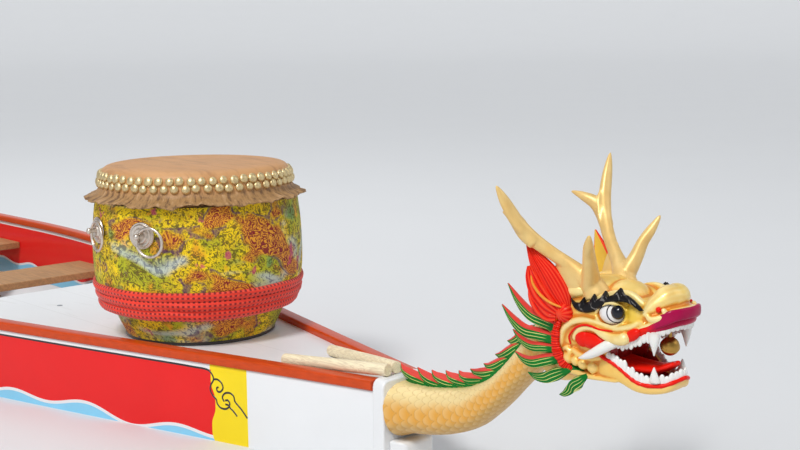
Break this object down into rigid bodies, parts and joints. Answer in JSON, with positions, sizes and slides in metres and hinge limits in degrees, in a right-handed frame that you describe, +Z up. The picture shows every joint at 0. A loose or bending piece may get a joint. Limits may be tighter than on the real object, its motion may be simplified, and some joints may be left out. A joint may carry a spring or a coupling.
{
  "type": "festival dragon boat",
  "caption": "Narrow wooden paddling boat with a carved dragon head and tail, a barrel drum on the foredeck, benches and a stern steering oar.",
  "frame": {"origin": "on the centreline amidships at the waterline", "axes": "+X along the boat to the bow, +Y to port, +Z up"},
  "size_m": [8.0398, 1.06, 0.9574],
  "materials": {
    "hull_white": "satin white boat paint on wood",
    "hull_red": "printed red facing on the side boards",
    "rail_wood": "orange-red varnish",
    "timber": "oiled timber",
    "pale_wood": "bare turned wood",
    "black_paint": "black paint",
    "drum_cloth": "multi-colour brocade glued to the drum",
    "drum_hide": "brown hide",
    "band_cloth": "red ribbed band",
    "brass": "polished, slightly worn",
    "gold_paint": "gold paint on carved resin",
    "green_paint": "green enamel",
    "red_paint": "red enamel",
    "mouth_paint": "dark red enamel",
    "ivory_paint": "ivory enamel",
    "eye_paint": "white and black gloss enamel",
    "steel": "galvanised"
  },
  "bodies": {
    "hull": {"hull_bottom": "hull_white", "keel": "hull_white", "side_board_port": "hull_red", "side_board_starboard": "hull_red", "gunwale_port": "rail_wood", "gunwale_starboard": "rail_wood", "bow_post": "hull_white", "stem_foot": "hull_white", "stern_post": "hull_white", "stern_foot": "hull_white", "foredeck": "hull_white", "afterdeck": "hull_white", "bulkhead_fore": "hull_white", "bulkhead_aft": "hull_white", "drum_beam": "timber", "floor_frame": "timber", "floorboards": "timber", "bench_1": "timber", "bench_2": "timber", "bench_3": "timber", "bench_4": "timber", "bench_5": "timber", "drum_base": "black_paint", "drum_shell": "drum_cloth", "drum_skin": "drum_hide", "drum_band": "band_cloth", "drum_ring_1": "brass", "drum_ring_2": "brass", "drum_ring_3": "brass", "drum_ring_4": "brass", "drumstick_1": "pale_wood", "drumstick_2": "pale_wood", "neck": "gold_paint", "neck_crest": "green_paint", "head": "gold_paint", "jaw": "gold_paint", "tongue": "mouth_paint", "mouth_bell": "brass", "antler_port": "gold_paint", "antler_starboard": "gold_paint", "ear_port": "red_paint", "ear_starboard": "red_paint", "tusk_port": "ivory_paint", "tusk_starboard": "ivory_paint", "mane_port": "green_paint", "mane_starboard": "green_paint", "eye_port": "eye_paint", "eye_starboard": "eye_paint", "tail": "gold_paint", "tail_crest": "green_paint", "tail_flame": "red_paint", "oarlock_base": "steel"},
    "yoke": {"oarlock_yoke": "steel"},
    "oar": {"steering_oar": "timber"}
  },
  "joints": [
    {"name": "oar_swing", "type": "hinge", "parent": "hull", "child": "yoke", "pos_m": [-2.7, 0.304, 0.2363], "axis": [0, 0, 1], "range_deg": [-35, 15]},
    {"name": "oar_lift", "type": "hinge", "parent": "yoke", "child": "oar", "pos_m": [-2.7, 0.304, 0.312], "axis": [0, 1, 0], "range_deg": [0, 22]}
  ]
}
